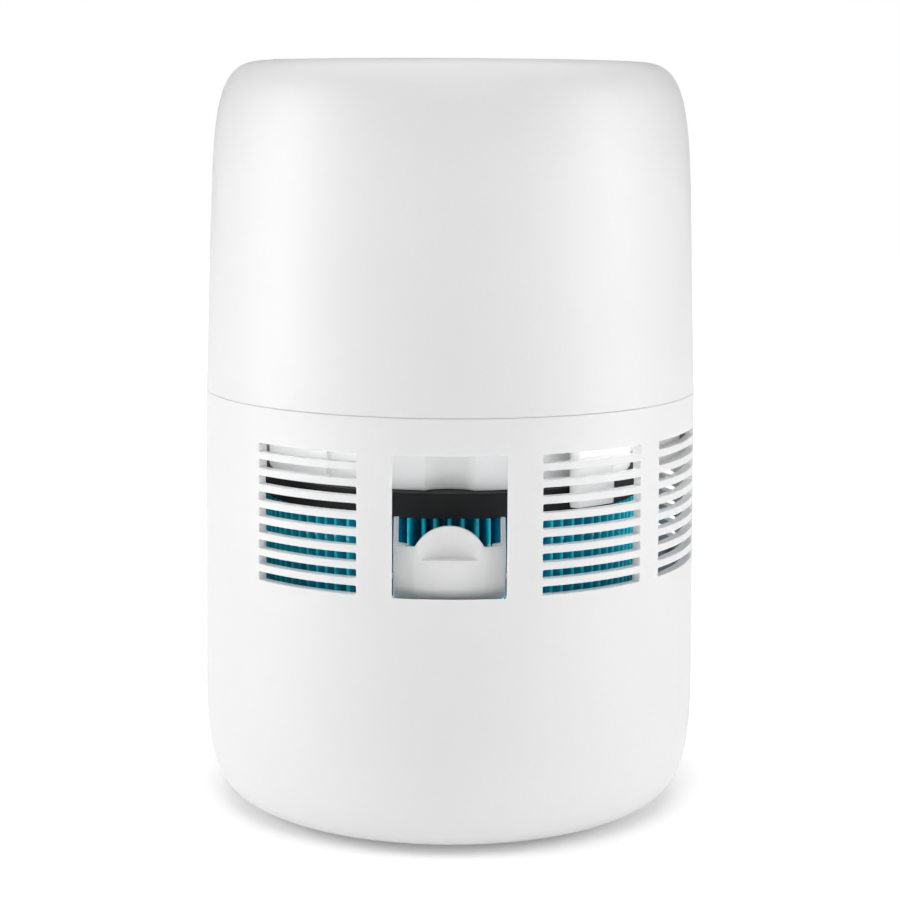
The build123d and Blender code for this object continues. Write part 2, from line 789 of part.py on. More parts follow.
for name, place in zip(button_names, button_places):
    with BuildPart() as control_button:
        button(place)
        cap_edge = control_button.edges().group_by(Axis.Z)[-1]
        fillet(cap_edge, radius=0.35)
    finish_part(control_button, name)

with BuildPart() as display_lens:
    with BuildSketch(Plane.XY.offset(flange_top_z)):
        lens_outline(-0.1)
    extrude(amount=head_wall - 0.1)
    with BuildSketch(Plane.XY.offset(flange_top_z - 0.8)):
        lens_outline(1.0)
    extrude(amount=0.8)
finish_part(display_lens, "display_lens")

with BuildPart() as display_module:
    with BuildSketch(Plane.XY.offset(board_top_z)):
        lens_outline(-0.4)
    extrude(amount=flange_top_z - 0.8 - board_top_z)
finish_part(display_module, "display_module")

with BuildPart() as control_board:
    with BuildSketch(Plane.XY.offset(board_low_z)):
        annular_sector(68.2, 99, -90, 32)
        with Locations(*board_post_places):
            Circle(1.2, mode=Mode.SUBTRACT)
    extrude(amount=board_thickness)
finish_part(control_board, "control_board")

with BuildPart() as tact_switches:
    with BuildSketch(Plane.XY.offset(board_top_z)):
        with Locations(*button_places):
            Rectangle(6, 6)
    extrude(amount=switch_top_z - board_top_z)
    posts(button_places, 1.7, switch_top_z, switch_top_z + 0.6)
finish_part(tact_switches, "tact_switches")


def pan_screws(places, head_z, shank_length, head_radius, shank_radius, head_height, upward):
    """Pan-head screws whose heads seat at one height, pointing up or down."""
    toward = 1 if upward else -1
    with BuildSketch(Plane.XY.offset(head_z)) as shanks:
        with Locations(*places):
            Circle(shank_radius)
    extrude(shanks.sketch, amount=toward * shank_length)
    with BuildSketch(Plane.XY.offset(head_z)) as heads:
        with Locations(*places):
            Circle(head_radius)
    extrude(heads.sketch, amount=-toward * head_height)
    with BuildSketch(Plane.XY.offset(head_z - toward * head_height)) as slots:
        with Locations(*places):
            Rectangle(head_radius * 1.2, 0.5)
            Rectangle(0.5, head_radius * 1.2)
    extrude(slots.sketch, amount=toward * head_height * 0.5, mode=Mode.SUBTRACT)


with BuildPart() as control_board_screws:
    pan_screws(board_post_places, board_low_z, 7.0, 2.2, 0.95, 1.4, True)
finish_part(control_board_screws, "control_board_screws")

# === Electronics on the head base ==================================================================
main_board_thickness = 1.6
main_board_high_z = main_board_z + main_board_thickness
jack_block_x = 118.2
jack_tip_x = 122.8

with BuildPart() as main_board:
    with BuildSketch(Plane.XY.offset(main_board_z)):
        with Locations((main_board_center_x, 0)):
            RectangleRounded(24, 66, 1.5)
        with Locations(*main_board_posts):
            Circle(1.2, mode=Mode.SUBTRACT)
    extrude(amount=main_board_thickness)
finish_part(main_board, "main_board")

with BuildPart() as board_components:
    posts([(98, -20), (98, -8), (104, 14)], 4.0, main_board_high_z, main_board_high_z + 12)
    with BuildSketch(Plane.XY.offset(main_board_high_z)):
        with Locations((97, 8)):
            Rectangle(7, 7)
        with Locations((104, 23)):
            Rectangle(10, 5)
    extrude(amount=3)
finish_part(board_components, "board_components")

with BuildPart() as main_board_screws:
    pan_screws(main_board_posts, main_board_high_z, 6.0, 2.2, 0.95, 1.4, False)
finish_part(main_board_screws, "main_board_screws")

with BuildPart() as dc_jack:
    with BuildSketch(Plane.XY.offset(main_board_high_z)):
        with Locations(((jack_block_x + 106) / 2, 0)):
            Rectangle(jack_block_x - 106, 11)
    extrude(amount=11.5)
    with BuildSketch(Plane.YZ.offset(jack_block_x - 1)):
        with Locations((0, jack_z)):
            Circle(jack_radius)
    extrude(amount=jack_tip_x - jack_block_x + 1)
    with BuildSketch(Plane.YZ.offset(jack_tip_x)):
        with Locations((0, jack_z)):
            Circle(2.75)
            Circle(1.0, mode=Mode.SUBTRACT)
    extrude(amount=-10, mode=Mode.SUBTRACT)
finish_part(dc_jack, "dc_jack")

with BuildPart() as duct_screws:
    pan_screws(duct_screw_places, base_high_z + 2, 4.8, 2.4, 1.2, 1.5, False)
finish_part(duct_screws, "duct_screws")

with BuildPart() as base_screws:
    posts(shell_screw_places, screw_core, base_low_z + 1, base_high_z + 12)
    for place in shell_screw_places:
        with Locations((*place, base_low_z + 0.85)):
            Cone(3.0, screw_core, 1.5)
finish_part(base_screws, "base_screws")
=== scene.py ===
"""Looks of the evaporative air unit: camera, light, procedural finishes and the fine pieces."""
import json
import math
import random

import bpy
from mathutils import Matrix, Vector


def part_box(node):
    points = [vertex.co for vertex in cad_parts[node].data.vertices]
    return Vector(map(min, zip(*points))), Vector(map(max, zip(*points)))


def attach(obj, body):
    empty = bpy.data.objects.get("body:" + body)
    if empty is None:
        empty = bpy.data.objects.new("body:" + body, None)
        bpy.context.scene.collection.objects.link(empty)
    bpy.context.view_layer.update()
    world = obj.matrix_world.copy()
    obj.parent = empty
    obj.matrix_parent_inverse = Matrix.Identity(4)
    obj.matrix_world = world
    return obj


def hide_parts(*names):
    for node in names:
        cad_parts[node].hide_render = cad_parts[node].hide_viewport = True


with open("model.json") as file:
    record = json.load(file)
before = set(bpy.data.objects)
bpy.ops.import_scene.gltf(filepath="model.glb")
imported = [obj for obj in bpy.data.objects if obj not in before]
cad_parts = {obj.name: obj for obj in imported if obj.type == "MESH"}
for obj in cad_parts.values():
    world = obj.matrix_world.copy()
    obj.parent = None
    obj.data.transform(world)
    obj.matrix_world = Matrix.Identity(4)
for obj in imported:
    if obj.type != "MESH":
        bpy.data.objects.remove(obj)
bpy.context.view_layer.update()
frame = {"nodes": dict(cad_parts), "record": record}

mm = 0.001


# --- node helpers ---------------------------------------------------------------------------
class Finish:
    """A Principled material and the procedural nodes that feed it."""

    def __init__(self, name, **constants):
        self.material = bpy.data.materials.new(name)
        self.material.use_nodes = True
        self.tree = self.material.node_tree
        self.shader = self.tree.nodes["Principled BSDF"]
        for socket, value in constants.items():
            self.shader.inputs[socket.replace("_", " ")].default_value = value
        self.place = self.node("ShaderNodeTexCoord").outputs["Object"]

    def node(self, kind, **settings):
        made = self.tree.nodes.new(kind)
        for setting, value in settings.items():
            setattr(made, setting, value)
        return made

    def put(self, socket, value):
        """Link an output to a socket, or set the socket to a constant."""
        if isinstance(value, bpy.types.NodeSocket):
            self.tree.links.new(value, socket)
        elif isinstance(value, tuple) and len(value) == 3 and socket.type == "RGBA":
            socket.default_value = (*value, 1.0)
        else:
            socket.default_value = value

    def wire(self, socket, value):
        self.put(self.shader.inputs[socket], value)

    def stretched(self, scale):
        mapping = self.node("ShaderNodeMapping")
        self.put(mapping.inputs["Vector"], self.place)
        self.put(mapping.inputs["Scale"], scale)
        return mapping.outputs["Vector"]

    def noise(self, size, detail=2.0, roughness=0.5, stretch=None, distortion=0.0):
        """Cloudy noise, with features of about this size in metres."""
        noise = self.node("ShaderNodeTexNoise")
        self.put(noise.inputs["Vector"], self.stretched(stretch) if stretch else self.place)
        self.put(noise.inputs["Scale"], 1 / size)
        self.put(noise.inputs["Detail"], detail)
        self.put(noise.inputs["Roughness"], roughness)
        self.put(noise.inputs["Distortion"], distortion)
        return noise.outputs["Fac"]

    def cells(self, size, feature="F1", stretch=None):
        """Cellular noise, with cells of about this size in metres."""
        cells = self.node("ShaderNodeTexVoronoi", feature=feature)
        self.put(cells.inputs["Vector"], self.stretched(stretch) if stretch else self.place)
        self.put(cells.inputs["Scale"], 1 / size)
        return cells.outputs["Distance"]

    def span(self, value, low, high, to_low=0.0, to_high=1.0):
        """Map a value from one range to another, clamped."""
        mapped = self.node("ShaderNodeMapRange")
        self.put(mapped.inputs["Value"], value)
        self.put(mapped.inputs["From Min"], low)
        self.put(mapped.inputs["From Max"], high)
        self.put(mapped.inputs["To Min"], to_low)
        self.put(mapped.inputs["To Max"], to_high)
        return mapped.outputs["Result"]

    def math(self, operation, first, second=0.0):
        result = self.node("ShaderNodeMath", operation=operation)
        self.put(result.inputs[0], first)
        self.put(result.inputs[1], second)
        return result.outputs["Value"]

    def blend(self, factor, first, second):
        """A colour between two colours."""
        mix = self.node("ShaderNodeMix", data_type="RGBA")
        self.put(mix.inputs["Factor"], factor)
        self.put(mix.inputs[6], first)
        self.put(mix.inputs[7], second)
        return mix.outputs[2]

    def bump(self, height, depth, strength=1.0, under=None):
        """A normal that is pushed about by a height of 0 to 1, times a depth in metres."""
        bump = self.node("ShaderNodeBump")
        self.put(bump.inputs["Height"], height)
        self.put(bump.inputs["Distance"], depth)
        self.put(bump.inputs["Strength"], strength)
        if under is not None:
            self.put(bump.inputs["Normal"], under)
        return bump.outputs["Normal"]

    def round_edges(self, radius):
        """The rounded normal near edges, and a mask that is 1 on them."""
        bevel = self.node("ShaderNodeBevel", samples=6)
        self.put(bevel.inputs["Radius"], radius)
        flat = self.node("ShaderNodeNewGeometry").outputs["Normal"]
        dot = self.node("ShaderNodeVectorMath", operation="DOT_PRODUCT")
        self.put(dot.inputs[0], bevel.outputs["Normal"])
        self.put(dot.inputs[1], flat)
        return bevel.outputs["Normal"], self.span(dot.outputs["Value"], 0.98, 0.8)

    def across(self):
        """The level vector from the object's upright axis."""
        flat = self.node("ShaderNodeVectorMath", operation="MULTIPLY")
        self.put(flat.inputs[0], self.place)
        self.put(flat.inputs[1], (1.0, 1.0, 0.0))
        return flat.outputs["Vector"]

    def from_axis(self):
        """Distance from the object's upright axis."""
        length = self.node("ShaderNodeVectorMath", operation="LENGTH")
        self.put(length.inputs[0], self.across())
        return length.outputs["Value"]

    def off_wall(self):
        """1 on faces that turn up or sideways, such as slot edges, and 0 on the outer wall."""
        outward = self.node("ShaderNodeVectorMath", operation="NORMALIZE")
        self.put(outward.inputs[0], self.across())
        normal = self.node("ShaderNodeNewGeometry").outputs["Normal"]
        square_on = self.node("ShaderNodeVectorMath", operation="DOT_PRODUCT")
        self.put(square_on.inputs[0], outward.outputs["Vector"])
        self.put(square_on.inputs[1], normal)
        parts = self.node("ShaderNodeSeparateXYZ")
        self.put(parts.inputs["Vector"], normal)
        return self.math("MULTIPLY", self.span(square_on.outputs["Value"], 0.9, 0.2),
                         self.span(parts.outputs["Z"], -0.4, -0.1))


def shade(colour, factor):
    return tuple(min(1.0, channel * factor) for channel in colour)


# --- finishes -------------------------------------------------------------------------------
def moulded_plastic(name, colour, roughness, edge=0.4 * mm, grain=0.35 * mm, edge_highlight=1.06,
                    painted_ledge_light=None, **constants):
    """Moulded plastic: a fine spark-eroded grain, slow tone drift, faint rubs, softened edges and a
    painted highlight along them.

    Slot edges and upward faces take a lighter colour, if one is given: painted light where the light
    falls on them.
    """
    finish = Finish(name, **constants)
    drift = finish.noise(90 * mm, detail=3)
    base = finish.blend(finish.span(drift, 0.3, 0.7), shade(colour, 0.985), shade(colour, 1.012))
    speck = finish.noise(1.6 * mm, detail=3, roughness=0.6)
    base = finish.blend(finish.span(speck, 0.35, 0.75, 0.0, 0.35), base, shade(colour, 0.965))
    # Painted light: slot edges and upward faces are made lighter where the light from above falls on
    # them.
    if painted_ledge_light:
        base = finish.blend(finish.off_wall(), base, painted_ledge_light)
    rounded, on_edge = finish.round_edges(edge)
    # Painted highlight: a lighter colour along the rounded edges.
    base = finish.blend(on_edge, base, shade(colour, edge_highlight))
    finish.wire("Base Color", base)
    rubs_and_tip_highlight = finish.noise(38 * mm, detail=5, roughness=0.65, distortion=0.6)
    finish.wire("Roughness", finish.span(rubs_and_tip_highlight, 0.35, 0.7, roughness - 0.04, roughness + 0.07))
    texture = finish.noise(grain, detail=2, roughness=0.6)
    finish.wire("Normal", finish.bump(texture, 0.012 * mm, 0.35, under=rounded))
    return finish.material


def gloss_black(name, colour, roughness, edge, **constants):
    """Smooth dark plastic with faint swirl marks and a little dust."""
    finish = Finish(name, **constants)
    dust = finish.noise(2.2 * mm, detail=6, roughness=0.7)
    drift = finish.noise(30 * mm, detail=2)
    base = finish.blend(finish.span(drift, 0.3, 0.7), colour, shade(colour, 1.5))
    base = finish.blend(finish.span(dust, 0.62, 0.78, 0.0, 0.2), base, (0.12, 0.12, 0.12))
    rounded, on_edge = finish.round_edges(edge)
    # Painted highlight: a lighter colour along the rounded edges.
    finish.wire("Base Color", finish.blend(on_edge, base, shade(colour, 1.5)))
    smear = finish.noise(14 * mm, detail=4, roughness=0.6, distortion=1.0)
    finish.wire("Roughness", finish.span(smear, 0.3, 0.7, roughness - 0.05, roughness + 0.08))
    ripple = finish.noise(6 * mm, detail=2)
    finish.wire("Normal", finish.bump(ripple, 0.02 * mm, 0.3, under=rounded))
    return finish.material


def wick_paper(name, tip_radius):
    """Pleated wet-strength paper: matted fibres, with the pleat tips painted pale as a highlight,
    which leaves the folds darker.
    """
    finish = Finish(name, Specular_IOR_Level=0.2)
    fibres = finish.noise(0.9 * mm, detail=5, roughness=0.7, distortion=1.6)
    strands = finish.cells(0.8 * mm, stretch=(1.0, 1.0, 0.35))
    clouds = finish.noise(11 * mm, detail=3)
    deep, mid, pale = (0.002, 0.38, 0.56), (0.003, 0.56, 0.78), (0.03, 0.84, 0.97)
    base = finish.blend(finish.span(clouds, 0.3, 0.7), deep, mid)
    base = finish.blend(finish.span(fibres, 0.46, 0.72, 0.0, 0.55), base, (0.005, 0.68, 0.86))
    base = finish.blend(finish.span(strands, 0.06, 0.0, 0.0, 0.5), base, (0.06, 0.84, 0.92))
    # Painted highlight: the pleat tips, where the light catches them, are painted pale.
    rubs_and_tip_highlight = finish.math("MULTIPLY", finish.span(fibres, 0.3, 0.62, 0.45, 1.0),
                      finish.span(finish.from_axis(), tip_radius - 1.2 * mm, tip_radius - 0.3 * mm))
    finish.wire("Base Color", finish.blend(rubs_and_tip_highlight, base, pale))
    finish.wire("Roughness", finish.span(fibres, 0.3, 0.7, 0.72, 0.92))
    pulp = finish.bump(fibres, 0.16 * mm, 0.8)
    finish.wire("Normal", finish.bump(strands, 0.06 * mm, 0.5, under=pulp))
    return finish.material


def hot_melt(name):
    """Milky beads of glue."""
    finish = Finish(name, Subsurface_Weight=0.4, Subsurface_Scale=0.5 * mm, Coat_Weight=0.3)
    cloud = finish.noise(1.2 * mm, detail=3)
    finish.wire("Base Color", finish.blend(cloud, (0.2, 0.6, 0.68), (0.45, 0.8, 0.85)))
    finish.wire("Roughness", finish.span(cloud, 0.3, 0.7, 0.25, 0.45))
    finish.wire("Normal", finish.bump(cloud, 0.08 * mm, 0.6))
    return finish.material


def turned_steel(name):
    """Turned steel: fine rings, small scratches and a slight stain."""
    finish = Finish(name, Metallic=1.0)
    rings = finish.noise(0.35 * mm, detail=2, stretch=(0.15, 0.15, 6.0))
    scratch = finish.noise(1.2 * mm, detail=6, roughness=0.75, distortion=2.0)
    stain = finish.noise(7 * mm, detail=3)
    base = finish.blend(finish.span(stain, 0.4, 0.75), (0.62, 0.62, 0.61), (0.47, 0.46, 0.44))
    rounded, on_edge = finish.round_edges(0.15 * mm)
    # Painted highlight: a lighter colour along the rounded edges.
    finish.wire("Base Color", finish.blend(on_edge, base, (0.75, 0.75, 0.74)))
    finish.wire("Roughness", finish.span(scratch, 0.3, 0.7, 0.22, 0.42))
    finish.wire("Normal", finish.bump(rings, 0.01 * mm, 0.5, under=rounded))
    return finish.material


def wound_copper(name):
    """Enamelled wire laid in close turns."""
    finish = Finish(name, Metallic=1.0, Coat_Weight=0.5)
    turns = finish.node("ShaderNodeTexWave", wave_type="BANDS", bands_direction="Z")
    finish.put(turns.inputs["Vector"], finish.place)
    finish.put(turns.inputs["Scale"], 1 / (2.6 * mm))
    finish.put(turns.inputs["Distortion"], 0.4)
    groove = turns.outputs["Fac"]
    tint = finish.noise(4 * mm, detail=3)
    base = finish.blend(finish.span(tint, 0.3, 0.7), (0.62, 0.24, 0.09), (0.8, 0.37, 0.16))
    # Painted shade: darker in the grooves between the turns.
    base = finish.blend(finish.span(groove, 0.35, 0.0), base, (0.16, 0.05, 0.02))
    finish.wire("Base Color", base)
    finish.wire("Roughness", finish.span(tint, 0.3, 0.7, 0.25, 0.4))
    finish.wire("Normal", finish.bump(groove, 0.15 * mm, 0.9))
    return finish.material


def circuit_board(name):
    """Green solder mask over raised copper tracks, with tinned specks."""
    finish = Finish(name, Coat_Weight=0.4, Coat_Roughness=0.15)
    track = finish.node("ShaderNodeTexBrick", offset=0.5, squash=1.0)
    finish.put(track.inputs["Vector"], finish.place)
    finish.put(track.inputs["Scale"], 1 / (6 * mm))
    finish.put(track.inputs["Mortar Size"], 0.08)
    lines = track.outputs["Fac"]
    pads = finish.span(finish.cells(3.4 * mm), 0.12, 0.08)
    base = finish.blend(lines, (0.008, 0.11, 0.035), (0.02, 0.2, 0.07))
    base = finish.blend(pads, base, (0.62, 0.6, 0.52))
    finish.wire("Base Color", base)
    mottle = finish.noise(5 * mm, detail=3)
    finish.wire("Roughness", finish.span(mottle, 0.3, 0.7, 0.28, 0.42))
    finish.wire("Normal", finish.bump(finish.math("MAXIMUM", lines, pads), 0.05 * mm, 0.7))
    return finish.material


def black_parts(name):
    """Dark moulded electronic parts with a dull grain, and edges painted paler as a highlight."""
    finish = Finish(name)
    grain = finish.noise(0.5 * mm, detail=4, roughness=0.7)
    drift = finish.noise(9 * mm, detail=2)
    rounded, on_edge = finish.round_edges(0.2 * mm)
    base = finish.blend(finish.span(drift, 0.3, 0.7), (0.018, 0.018, 0.02), (0.032, 0.032, 0.035))
    # Painted highlight: the edges are painted paler.
    finish.wire("Base Color", finish.blend(on_edge, base, (0.09, 0.09, 0.095)))
    finish.wire("Roughness", finish.span(grain, 0.3, 0.7, 0.38, 0.6))
    finish.wire("Normal", finish.bump(grain, 0.02 * mm, 0.6, under=rounded))
    return finish.material


def soft_rubber(name):
    """Dull rubber with a sanded face and clinging dust."""
    finish = Finish(name, Specular_IOR_Level=0.3)
    grain = finish.noise(0.6 * mm, detail=5, roughness=0.75)
    dust = finish.noise(5 * mm, detail=5, roughness=0.7)
    base = finish.blend(finish.span(dust, 0.5, 0.8, 0.0, 0.5), (0.1, 0.1, 0.1), (0.22, 0.21, 0.2))
    finish.wire("Base Color", base)
    finish.wire("Roughness", finish.span(grain, 0.3, 0.7, 0.75, 0.95))
    finish.wire("Normal", finish.bump(grain, 0.06 * mm, 0.7))
    return finish.material


def closed_foam(name):
    """Closed-cell foam: small pits and a slight yellowing."""
    finish = Finish(name, Subsurface_Weight=0.1, Subsurface_Scale=1 * mm)
    pits = finish.cells(0.9 * mm)
    aged = finish.noise(9 * mm, detail=3)
    base = finish.blend(finish.span(aged, 0.3, 0.7), (0.74, 0.73, 0.68), (0.68, 0.65, 0.55))
    # Painted shade: darker in the pits.
    finish.wire("Base Color", finish.blend(finish.span(pits, 0.5, 0.75), base, (0.55, 0.53, 0.46)))
    finish.wire("Roughness", finish.span(pits, 0.2, 0.7, 0.8, 0.95))
    finish.wire("Normal", finish.bump(finish.span(pits, 0.7, 0.2), 0.15 * mm, 0.8))
    return finish.material


def sintered_magnet(name):
    """Pressed ferrite: near black, gritty, with chipped bright grains."""
    finish = Finish(name, Metallic=0.35)
    grit = finish.noise(0.45 * mm, detail=6, roughness=0.8)
    chips = finish.cells(1.4 * mm)
    base = finish.blend(finish.span(grit, 0.4, 0.75), (0.03, 0.03, 0.033), (0.085, 0.085, 0.09))
    base = finish.blend(finish.span(chips, 0.06, 0.02), base, (0.22, 0.22, 0.23))
    finish.wire("Base Color", base)
    finish.wire("Roughness", finish.span(grit, 0.3, 0.7, 0.45, 0.7))
    finish.wire("Normal", finish.bump(grit, 0.05 * mm, 0.8))
    return finish.material


def printed_mark(name, colour):
    """Pad-printed ink, slightly uneven."""
    finish = Finish(name)
    mottle = finish.noise(0.5 * mm, detail=4, roughness=0.7)
    base = finish.blend(finish.span(mottle, 0.45, 0.8, 0.0, 0.5), colour, shade(colour, 1.6))
    finish.wire("Base Color", base)
    finish.wire("Roughness", finish.span(mottle, 0.3, 0.7, 0.45, 0.65))
    finish.wire("Normal", finish.bump(mottle, 0.01 * mm, 0.5))
    return finish.material


def lit_dot(name, colour, power):
    """A small indicator under the display window, brighter in its middle grain."""
    finish = Finish(name, Emission_Strength=power)
    grain = finish.noise(0.5 * mm, detail=3)
    finish.wire("Base Color", finish.blend(grain, shade(colour, 0.7), colour))
    finish.wire("Emission Color", finish.blend(grain, shade(colour, 0.8), colour))
    finish.wire("Roughness", finish.span(grain, 0.3, 0.7, 0.2, 0.35))
    return finish.material


media_low, media_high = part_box("wick_media")
tip_radius = media_high.x

finishes = {
    # The casing's lighter slot edges and upward faces are painted light.
    "casing_white": moulded_plastic("casing_white", (0.68, 0.68, 0.68), 0.5,
                                    painted_ledge_light=(0.88, 0.88, 0.88), Specular_IOR_Level=0.8,
                                    Coat_Weight=0.5, Coat_Roughness=0.5, Subsurface_Weight=0.4,
                                    Subsurface_Radius=(1.0, 1.0, 1.0), Subsurface_Scale=3 * mm),
    # The spout's bright rims are a strong painted highlight on its edges.
    "spout_white": moulded_plastic("spout_white", (0.68, 0.68, 0.68), 0.38,
                                   edge=1.5 * mm, edge_highlight=1.4),
    # Painted light: the skirt is painted much lighter than the casing's white plastic, to stand in
    # for light that does not reach it inside the tank.
    "skirt_grey": moulded_plastic("skirt_grey", (0.92, 0.92, 0.92), 0.45),
    "button_white": moulded_plastic("button_white", (0.74, 0.74, 0.74), 0.34, edge=0.5 * mm),
    "ring_black": gloss_black("ring_black", (0.02, 0.02, 0.021), 0.42, 0.5 * mm,
                              Specular_IOR_Level=0.05),
    "wick_teal": wick_paper("wick_teal", tip_radius),
    "core_white": moulded_plastic("core_white", (0.6, 0.62, 0.62), 0.5),
    "guide_white": moulded_plastic("guide_white", (0.72, 0.72, 0.71), 0.42),
    "float_foam": closed_foam("float_foam"),
    "magnet_dark": sintered_magnet("magnet_dark"),
    "pad_rubber": soft_rubber("pad_rubber"),
    "steel": turned_steel("steel"),
    "copper_winding": wound_copper("copper_winding"),
    "duct_grey": moulded_plastic("duct_grey", (0.62, 0.62, 0.63), 0.48),
    "fan_grey": moulded_plastic("fan_grey", (0.16, 0.16, 0.165), 0.4, edge=0.3 * mm, edge_highlight=1.5),
    "board_green": circuit_board("board_green"),
    "component_black": black_parts("component_black"),
    "lens_black": gloss_black("lens_black", (0.01, 0.01, 0.012), 0.1, 0.3 * mm,
                              Coat_Weight=0.35, Coat_Roughness=0.08),
}
for subpart in frame["record"]["subparts"]:
    mesh = frame["nodes"][subpart["node"]].data
    mesh.materials.clear()
    mesh.materials.append(finishes[subpart["material_slot"]])


# --- piece helpers --------------------------------------------------------------------------
def make_piece(name, points, faces, material, body, smooth=True):
    mesh = bpy.data.meshes.new(name)
    mesh.from_pydata(points, [], faces)
    mesh.validate()
    mesh.update()
    mesh.polygons.foreach_set("use_smooth", [smooth] * len(mesh.polygons))
    mesh.materials.append(material)
    piece = bpy.data.objects.new(name, mesh)
    bpy.context.scene.collection.objects.link(piece)
    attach(piece, body)
    return piece


def polar(radius, angle, height):
    return (radius * math.cos(angle), radius * math.sin(angle), height)


# --- pleated wick ---------------------------------------------------------------------------
PLEATS = 92
VALLEY_RADIUS = 78 * mm
TIP_HALF_WIDTH = 0.95 * mm
VALLEY_HALF_WIDTH = 0.9 * mm
PAPER = 0.7 * mm
ROWS = 16
POINTS_PER_PLEAT = 12
SWAY = 0.28 * mm
SWAY_TURN = 2.6 * math.pi


def pleat_profile(draw):
    """One turn of the zigzag as (angle, radius, lean), where lean is the share of the sway."""
    pitch = 2 * math.pi / PLEATS
    tip_half = TIP_HALF_WIDTH / tip_radius
    valley_half = VALLEY_HALF_WIDTH / VALLEY_RADIUS
    tips = [pitch * (i + draw.uniform(-0.11, 0.11)) for i in range(PLEATS)]
    profile = []
    for i, tip in enumerate(tips):
        following = tips[(i + 1) % PLEATS] + (2 * math.pi if i == PLEATS - 1 else 0)
        valley = (tip + following) / 2 + pitch * draw.uniform(-0.06, 0.06)
        tip_r = tip_radius - draw.uniform(0.02, 0.45) * mm
        lean = draw.uniform(-1, 1)
        for share, drop in ((-1, 0.95), (-0.6, 0.25), (0, 0), (0.6, 0.25), (1, 0.95)):
            profile.append((tip + share * tip_half, tip_r - drop * mm, lean))
        belly = draw.uniform(-0.25, 0.25) * mm / tip_radius
        for step in (0.33, 0.67):
            radius = tip_r + (VALLEY_RADIUS - tip_r) * step
            angle = tip + tip_half + (valley - valley_half - tip - tip_half) * step + belly
            profile.append((angle, radius, lean * (1 - step)))
        for share, rise in ((-1, 0.7), (0, 0), (1, 0.7)):
            profile.append((valley + share * valley_half, VALLEY_RADIUS + rise * mm, 0.0))
        end = following - tip_half
        for step in (0.33, 0.67):
            radius = VALLEY_RADIUS + (tip_radius - VALLEY_RADIUS) * step
            angle = valley + valley_half + (end - valley - valley_half) * step
            profile.append((angle, radius, 0.0))
    return profile


def pleated_wick():
    """The folded sheet in place of the plain ring. Returns the (angle, radius, lean) of each tip."""
    draw = random.Random(12)
    profile = pleat_profile(draw)
    count = len(profile)
    points, faces = [], []
    for row in range(ROWS + 1):
        share = row / ROWS
        height = media_low.z + (media_high.z - media_low.z) * share
        for angle, radius, lean in profile:
            sway = SWAY / tip_radius * lean * math.sin(SWAY_TURN * share + 4 * lean)
            points.append(polar(radius, angle + sway, height))
    for row in range(ROWS):
        for column in range(count):
            after = (column + 1) % count
            low, high = row * count, (row + 1) * count
            faces.append((low + column, low + after, high + after, high + column))
    wick = make_piece("pleated_wick", points, faces, finishes["wick_teal"], "wick")
    thickness = wick.modifiers.new("paper", "SOLIDIFY")
    thickness.thickness = PAPER
    thickness.offset = -1
    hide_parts("wick_media")
    return profile[2::POINTS_PER_PLEAT]


BEAD_RINGS, BEAD_SIDES = 4, 8


def bead_points(centre, out, along, size):
    """An upright bead as a top point, rings of points and a bottom point."""
    reach = size * 1.2
    points = [tuple(centre + Vector((0, 0, reach)))]
    for ring in range(1, BEAD_RINGS):
        drop = math.pi * ring / BEAD_RINGS
        spread = size * math.sin(drop)
        for side in range(BEAD_SIDES):
            turn = 2 * math.pi * side / BEAD_SIDES
            level = out * (spread * math.cos(turn) * 0.7) + along * (spread * math.sin(turn))
            points.append(tuple(centre + level + Vector((0, 0, reach * math.cos(drop)))))
    points.append(tuple(centre - Vector((0, 0, reach))))
    return points


def bead_faces(first, last):
    """Faces between the points of a bead, which run from first to last."""
    faces = []
    for side in range(BEAD_SIDES):
        after = (side + 1) % BEAD_SIDES
        faces.append((first, first + 1 + side, first + 1 + after))
        for ring in range(BEAD_RINGS - 2):
            low = first + 1 + ring * BEAD_SIDES
            high = low + BEAD_SIDES
            faces.append((low + side, high + side, high + after, low + after))
        low = first + 1 + (BEAD_RINGS - 2) * BEAD_SIDES
        faces.append((low + side, last, low + after))
    return faces


def glue_beads(tips, heights):
    """A blob of glue on every pleat tip, in rows round the wick."""
    draw = random.Random(5)
    points, faces = [], []
    for height in heights:
        for angle, radius, _ in tips:
            size = draw.uniform(0.65, 1.0) * mm
            centre_z = height + draw.uniform(-0.8, 0.8) * mm
            out = Vector((math.cos(angle), math.sin(angle), 0))
            along = Vector((-math.sin(angle), math.cos(angle), 0))
            centre = out * (radius - 0.35 * mm) + Vector((0, 0, centre_z))
            first = len(points)
            points += bead_points(centre, out, along, size)
            faces += bead_faces(first, len(points) - 1)
    make_piece("wick_glue_beads", points, faces, hot_melt("glue_milky"), "wick")


glue_rows = (media_low.z + 22 * mm, media_high.z - 22.6 * mm)
glue_beads(pleated_wick(), glue_rows)


# --- printed marks on the keys --------------------------------------------------------------
MARK_THICKNESS = 0.03 * mm


def arc_points(centre, radius, start, end, steps=24):
    """Points on an arc. Angles in degrees, 0 is up, turning to the right."""
    turns = [math.radians(start + (end - start) * i / steps) for i in range(steps + 1)]
    return [(centre[0] + radius * math.sin(t), centre[1] + radius * math.cos(t)) for t in turns]


